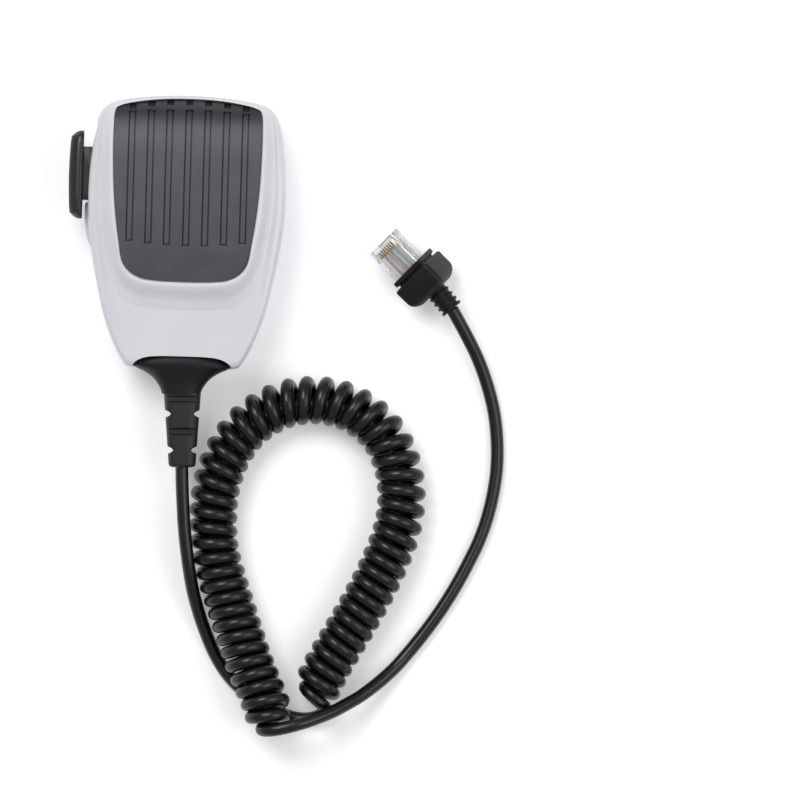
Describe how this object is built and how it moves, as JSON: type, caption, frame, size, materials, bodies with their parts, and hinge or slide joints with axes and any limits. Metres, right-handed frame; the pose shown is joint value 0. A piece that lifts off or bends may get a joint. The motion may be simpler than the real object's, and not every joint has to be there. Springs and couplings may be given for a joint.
{
  "type": "hand microphone",
  "caption": "Hand microphone with a slotted grille, a side talk lever, a hanger stud on its back and a curly cord ending in a booted modular plug.",
  "frame": {"origin": "centre of the hanger stud's outer face, on the back of the housing", "axes": "+Z out of the back towards the grille, +Y from the cord entry to the top of the housing, talk lever at -X"},
  "size_m": [0.1528, 0.2194, 0.0343],
  "materials": {
    "housing_plastic": "satin moulded ABS in a pale silver grey",
    "grille_plastic": "fine spark-textured dark grey ABS",
    "lever_plastic": "satin black moulded plastic",
    "boot_rubber": "soft matt black moulded rubber",
    "cord_jacket": "glossy black extruded jacket",
    "gasket_rubber": "matt black rubber",
    "screen_fabric": "fine black woven screen",
    "capsule_metal": "drawn bright can",
    "board_laminate": "green solder mask on glass-epoxy laminate",
    "component_resin": "moulded epoxy resin",
    "screw_steel": "bright zinc plate",
    "stud_steel": "turned and nickel plated",
    "plunger_plastic": "moulded acetal",
    "connector_nylon": "natural nylon",
    "wire_insulation": "extruded insulation, one colour a wire",
    "clear_plastic": "clear moulded polycarbonate",
    "contact_gold": "gold plated contact blades"
  },
  "bodies": {
    "housing": {"front_shell": "housing_plastic", "rear_shell": "housing_plastic", "shell_gasket": "gasket_rubber", "capsule_sleeve": "gasket_rubber", "grille_panel": "grille_plastic", "dust_screen": "screen_fabric", "mic_capsule": "capsule_metal", "circuit_board": "board_laminate", "board_parts": "component_resin", "ptt_switch": "component_resin", "board_screws": "screw_steel", "case_screws": "screw_steel", "clamp_screws": "screw_steel", "stud_screw": "screw_steel", "stud_washer": "screw_steel", "cord_clamp": "screw_steel", "ptt_pivot_pin": "screw_steel", "ptt_spring": "screw_steel", "wire_header": "connector_nylon", "wire_plug": "connector_nylon", "lead_wires": "wire_insulation", "plug_wires": "wire_insulation", "hanger_stud": "stud_steel", "cord_boot": "boot_rubber", "strain_relief": "boot_rubber", "plug_relief": "boot_rubber", "plug_boot": "boot_rubber", "cord_end": "cord_jacket", "mic_tail": "cord_jacket", "curly_cord": "cord_jacket", "plug_tail": "cord_jacket", "plug_cord_end": "cord_jacket", "plug_body": "clear_plastic", "plug_contacts": "contact_gold"},
    "talk_lever": {"ptt_lever": "lever_plastic"},
    "switch_plunger": {"ptt_switch_plunger": "plunger_plastic"},
    "latch": {"plug_latch": "clear_plastic"}
  },
  "joints": [
    {"name": "talk_lever_press", "type": "hinge", "parent": "housing", "child": "talk_lever", "pos_m": [-0.029, 0.011, 0.0175], "axis": [0, 0, -1], "range_deg": [0, 4.5], "stiffness_Nm_per_rad": 0.25, "springref_deg": -4.58, "deforming": ["ptt_spring"]},
    {"name": "switch_plunger_press", "type": "slide", "parent": "housing", "child": "switch_plunger", "axis": [1, 0, 0], "range_m": [0, 0.0008]},
    {"name": "plug_latch_flex", "type": "hinge", "parent": "housing", "child": "latch", "pos_m": [0.06979, -0.00211, 0.00905], "axis": [-0.613, -0.6573, -0.4384], "range_deg": [0, 12], "stiffness_Nm_per_rad": 0.06}
  ],
  "couplings": [
    {"joint": "switch_plunger_press", "follows": "talk_lever_press", "m_per_rad": 0.009}
  ]
}
